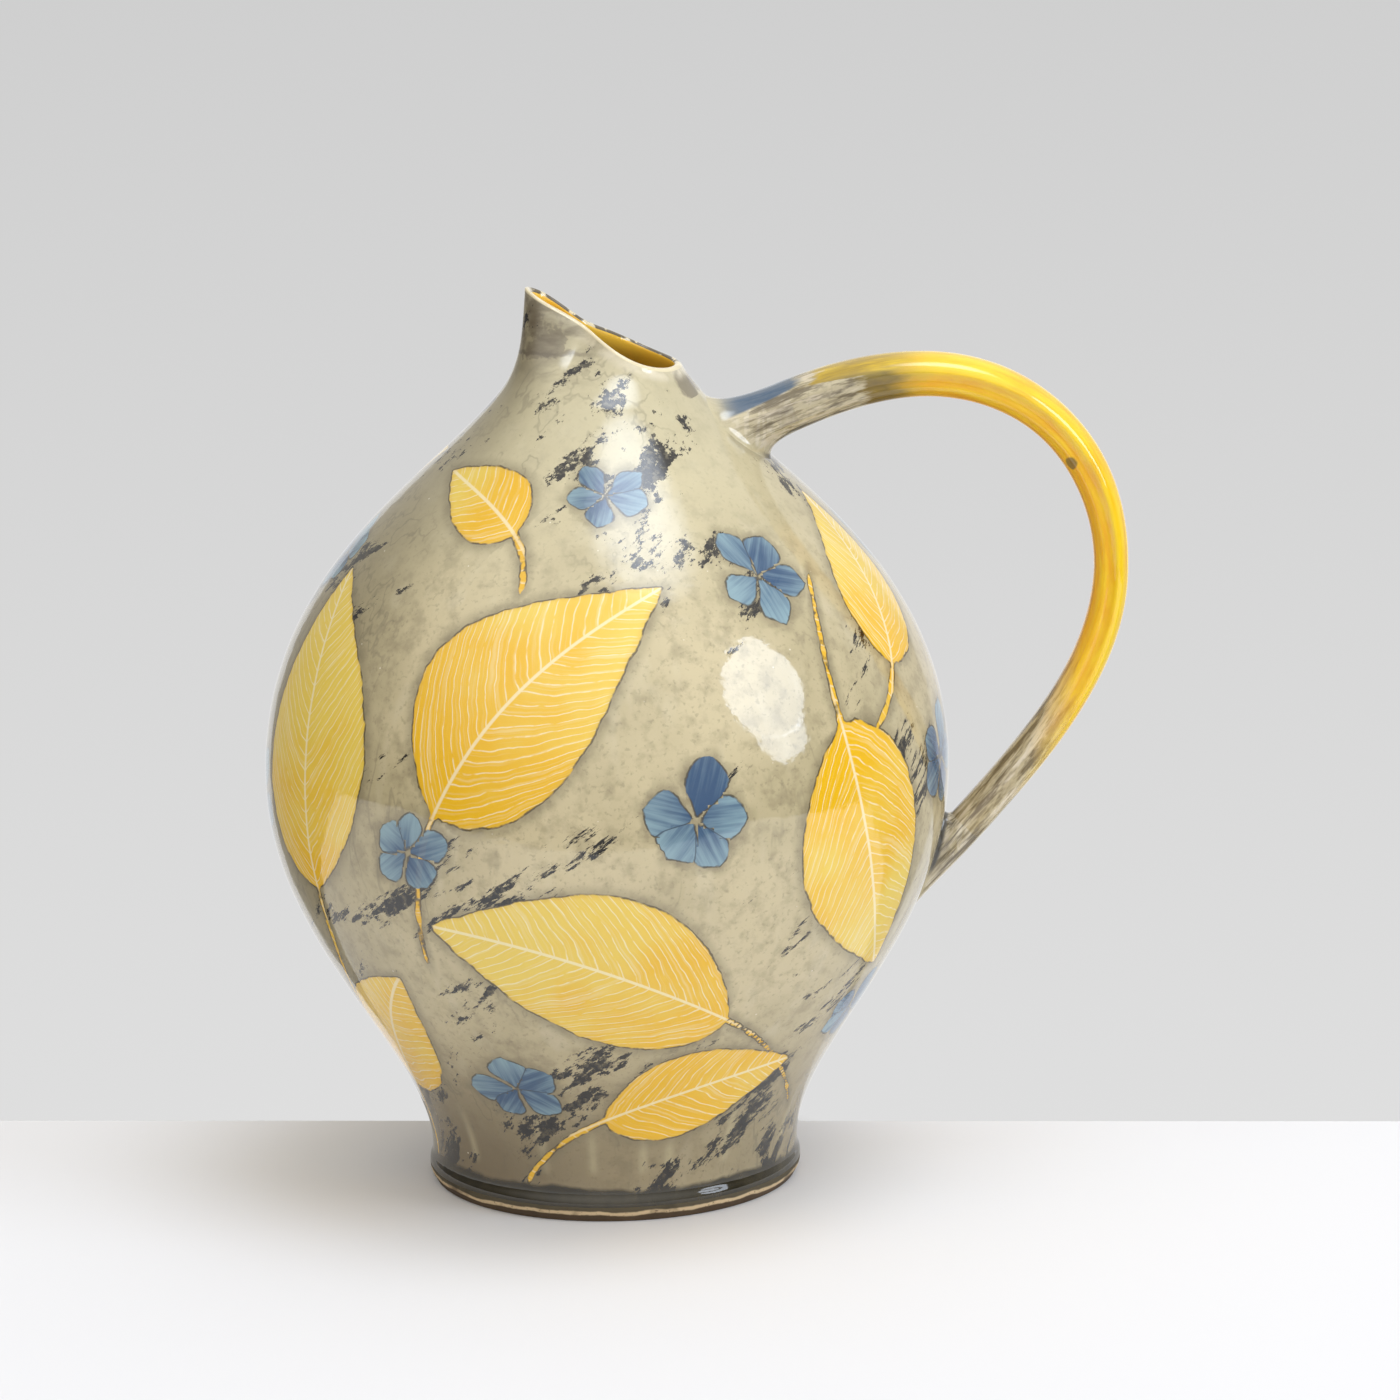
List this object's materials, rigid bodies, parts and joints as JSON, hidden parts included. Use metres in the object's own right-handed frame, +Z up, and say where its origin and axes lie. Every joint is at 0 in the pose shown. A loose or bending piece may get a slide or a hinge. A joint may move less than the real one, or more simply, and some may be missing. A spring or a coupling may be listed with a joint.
{
  "type": "oil jug",
  "caption": "Round-bellied glazed earthenware oil jug on a low foot, with a pinched pouring beak and a tall looped handle.",
  "frame": {"origin": "centre of the foot's standing face, on the axis that the body was thrown on", "axes": "+Z up along the body's axis, +X towards the handle, -X towards the beak"},
  "size_m": [0.272, 0.215, 0.285],
  "materials": {
    "bare_clay": "matte",
    "decorated_glaze": "gloss",
    "liner_glaze": "gloss",
    "handle_glaze": "gloss"
  },
  "bodies": {
    "root": {"foot_ring": "bare_clay", "thrown_body": "decorated_glaze", "beak_neck": "decorated_glaze", "body_liner": "liner_glaze", "beak_liner": "liner_glaze", "pulled_handle": "handle_glaze", "upper_handle_wad": "decorated_glaze", "lower_handle_wad": "decorated_glaze"}
  },
  "joints": []
}
